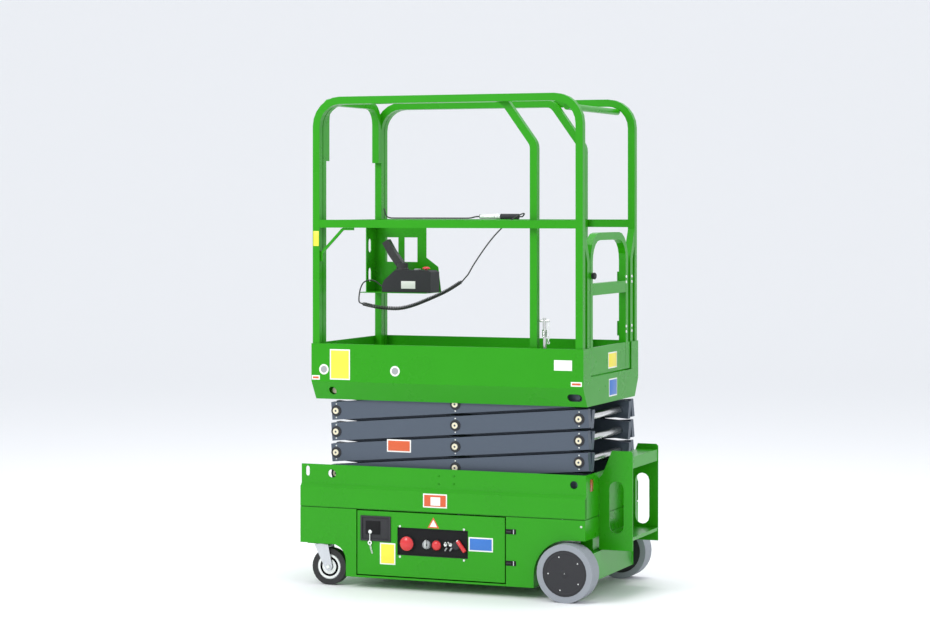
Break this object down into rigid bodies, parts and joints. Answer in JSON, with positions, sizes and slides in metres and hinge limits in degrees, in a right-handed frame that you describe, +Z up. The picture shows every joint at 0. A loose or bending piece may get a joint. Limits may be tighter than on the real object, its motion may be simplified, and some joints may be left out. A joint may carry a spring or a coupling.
{
  "type": "scissor lift",
  "caption": "Mini self-propelled scissor work platform, stowed, with folding arms, roll-out deck, swing gate, ladder and control box on a curly cord.",
  "frame": {"origin": "centre of the bounding box on the floor", "axes": "+X towards the entry end and ladder, +Z up"},
  "size_m": [1.373, 0.766, 1.995],
  "materials": {
    "green_paint": "gloss powder coat",
    "slate_paint": "satin paint",
    "steel": "ground and plated",
    "zinc": "zinc plated",
    "grey_tyre": "solid non-marking rubber",
    "black_rubber": "matte",
    "cord_rubber": "satin",
    "black_plastic": "fine texture"
  },
  "bodies": {
    "chassis": {"chassis_tub": "green_paint", "battery_block": "black_plastic", "upper_frame": "green_paint", "entry_ladder": "green_paint", "drive_axle_box": "green_paint"},
    "drive_wheel_near": {"drive_tyre_near": "grey_tyre", "drive_rim_near": "black_plastic"},
    "drive_wheel_far": {"drive_tyre_far": "grey_tyre", "drive_rim_far": "black_plastic"},
    "caster_fork_near": {"caster_fork_near": "zinc"},
    "caster_fork_far": {"caster_fork_far": "zinc"},
    "caster_wheel_near": {"caster_tyre_near": "black_rubber", "caster_hub_near": "zinc"},
    "caster_wheel_far": {"caster_tyre_far": "black_rubber", "caster_hub_far": "zinc"},
    "side_door_near": {"side_door_near": "green_paint", "ground_controls": "black_plastic"},
    "side_door_far": {"side_door_far": "green_paint"},
    "outer_arms_1": {"outer_arms_1": "slate_paint"},
    "inner_arms_1": {"inner_arms_1": "slate_paint"},
    "outer_arms_2": {"outer_arms_2": "slate_paint"},
    "inner_arms_2": {"inner_arms_2": "slate_paint"},
    "outer_arms_3": {"outer_arms_3": "slate_paint"},
    "inner_arms_3": {"inner_arms_3": "slate_paint"},
    "outer_arms_4": {"outer_arms_4": "slate_paint"},
    "inner_arms_4": {"inner_arms_4": "slate_paint"},
    "cylinder_barrel": {"cylinder_barrel": "slate_paint"},
    "cylinder_rod": {"cylinder_rod": "steel"},
    "platform": {"platform_tray": "green_paint", "guardrail_near": "green_paint", "guardrail_far": "green_paint", "entry_cross_bar": "green_paint", "rail_brace": "green_paint", "deck_lock": "zinc"},
    "gate": {"entry_gate": "green_paint", "gate_latch": "black_plastic"},
    "extension": {"extension_deck": "green_paint", "extension_rail_near": "green_paint", "extension_rail_far": "green_paint", "extension_end_rail": "green_paint", "extension_end_bar": "green_paint", "control_bracket": "green_paint", "control_box": "black_plastic", "joystick": "black_rubber", "cord_lead_box": "cord_rubber", "cord_coil": "cord_rubber", "cord_lead_plug": "cord_rubber", "cord_plug": "black_plastic", "main_cable": "cord_rubber"}
  },
  "joints": [
    {"name": "lift", "type": "hinge", "parent": "chassis", "child": "outer_arms_1", "pos_m": [-0.546, 0, 0.457], "axis": [0, -1, 0], "range_deg": [0, 48]},
    {"name": "inner_1", "type": "hinge", "parent": "outer_arms_1", "child": "inner_arms_1", "pos_m": [-0.02072, 0, 0.49954], "axis": [0, -1, 0], "range_deg": [-96, 0]},
    {"name": "outer_2", "type": "hinge", "parent": "inner_arms_1", "child": "outer_arms_2", "pos_m": [-0.546, 0, 0.54208], "axis": [0, -1, 0], "range_deg": [0, 96]},
    {"name": "inner_2", "type": "hinge", "parent": "outer_arms_2", "child": "inner_arms_2", "pos_m": [-0.02072, 0, 0.58462], "axis": [0, -1, 0], "range_deg": [-96, 0]},
    {"name": "outer_3", "type": "hinge", "parent": "inner_arms_2", "child": "outer_arms_3", "pos_m": [-0.546, 0, 0.62716], "axis": [0, -1, 0], "range_deg": [0, 96]},
    {"name": "inner_3", "type": "hinge", "parent": "outer_arms_3", "child": "inner_arms_3", "pos_m": [-0.02072, 0, 0.6697], "axis": [0, -1, 0], "range_deg": [-96, 0]},
    {"name": "outer_4", "type": "hinge", "parent": "inner_arms_3", "child": "outer_arms_4", "pos_m": [-0.546, 0, 0.71224], "axis": [0, -1, 0], "range_deg": [0, 96]},
    {"name": "inner_4", "type": "hinge", "parent": "outer_arms_4", "child": "inner_arms_4", "pos_m": [-0.02072, 0, 0.75478], "axis": [0, -1, 0], "range_deg": [-96, 0]},
    {"name": "platform_level", "type": "hinge", "parent": "inner_arms_4", "child": "platform", "pos_m": [-0.546, 0, 0.79732], "axis": [0, -1, 0], "range_deg": [0, 48]},
    {"name": "barrel_tilt", "type": "hinge", "parent": "chassis", "child": "cylinder_barrel", "pos_m": [-0.185, 0, 0.158], "axis": [0, -1, 0], "range_deg": [0, 40.3]},
    {"name": "rod_slide", "type": "slide", "parent": "cylinder_barrel", "child": "cylinder_rod", "axis": [0.641, 0, 0.7675], "range_m": [0, 0.2236]},
    {"name": "extension_slide", "type": "slide", "parent": "platform", "child": "extension", "axis": [-1, 0, 0], "range_m": [0, 0.6]},
    {"name": "gate_swing", "type": "hinge", "parent": "platform", "child": "gate", "pos_m": [0.497, 0.236, 0.868], "axis": [0, 0, -1], "range_deg": [0, 90]},
    {"name": "near_door", "type": "hinge", "parent": "chassis", "child": "side_door_near", "pos_m": [0.21, -0.338, 0.058], "axis": [0, 0, 1], "range_deg": [0, 100]},
    {"name": "far_door", "type": "hinge", "parent": "chassis", "child": "side_door_far", "pos_m": [0.21, 0.338, 0.058], "axis": [0, 0, -1], "range_deg": [0, 100]},
    {"name": "drive_near", "type": "hinge", "parent": "chassis", "child": "drive_wheel_near", "pos_m": [0.476, -0.34, 0.115], "axis": [0, 1, 0], "continuous": true},
    {"name": "swivel_near", "type": "hinge", "parent": "chassis", "child": "caster_fork_near", "pos_m": [-0.606, -0.283, 0.1697], "axis": [0, 0, 1], "continuous": true},
    {"name": "caster_near", "type": "hinge", "parent": "caster_fork_near", "child": "caster_wheel_near", "pos_m": [-0.573, -0.283, 0.075], "axis": [0, 1, 0], "continuous": true},
    {"name": "drive_far", "type": "hinge", "parent": "chassis", "child": "drive_wheel_far", "pos_m": [0.476, 0.34, 0.115], "axis": [0, 1, 0], "continuous": true},
    {"name": "swivel_far", "type": "hinge", "parent": "chassis", "child": "caster_fork_far", "pos_m": [-0.606, 0.283, 0.1697], "axis": [0, 0, 1], "continuous": true},
    {"name": "caster_far", "type": "hinge", "parent": "caster_fork_far", "child": "caster_wheel_far", "pos_m": [-0.573, 0.283, 0.075], "axis": [0, 1, 0], "continuous": true}
  ],
  "couplings": [
    {"joint": "inner_1", "follows": "lift", "ratio": -2},
    {"joint": "outer_2", "follows": "lift", "ratio": 2},
    {"joint": "inner_2", "follows": "lift", "ratio": -2},
    {"joint": "outer_3", "follows": "lift", "ratio": 2},
    {"joint": "inner_3", "follows": "lift", "ratio": -2},
    {"joint": "outer_4", "follows": "lift", "ratio": 2},
    {"joint": "inner_4", "follows": "lift", "ratio": -2},
    {"joint": "platform_level", "follows": "lift", "ratio": 1},
    {"joint": "barrel_tilt", "follows": "lift", "ratio": 0.8376},
    {"joint": "rod_slide", "follows": "lift", "m_per_rad": 0.2666}
  ]
}
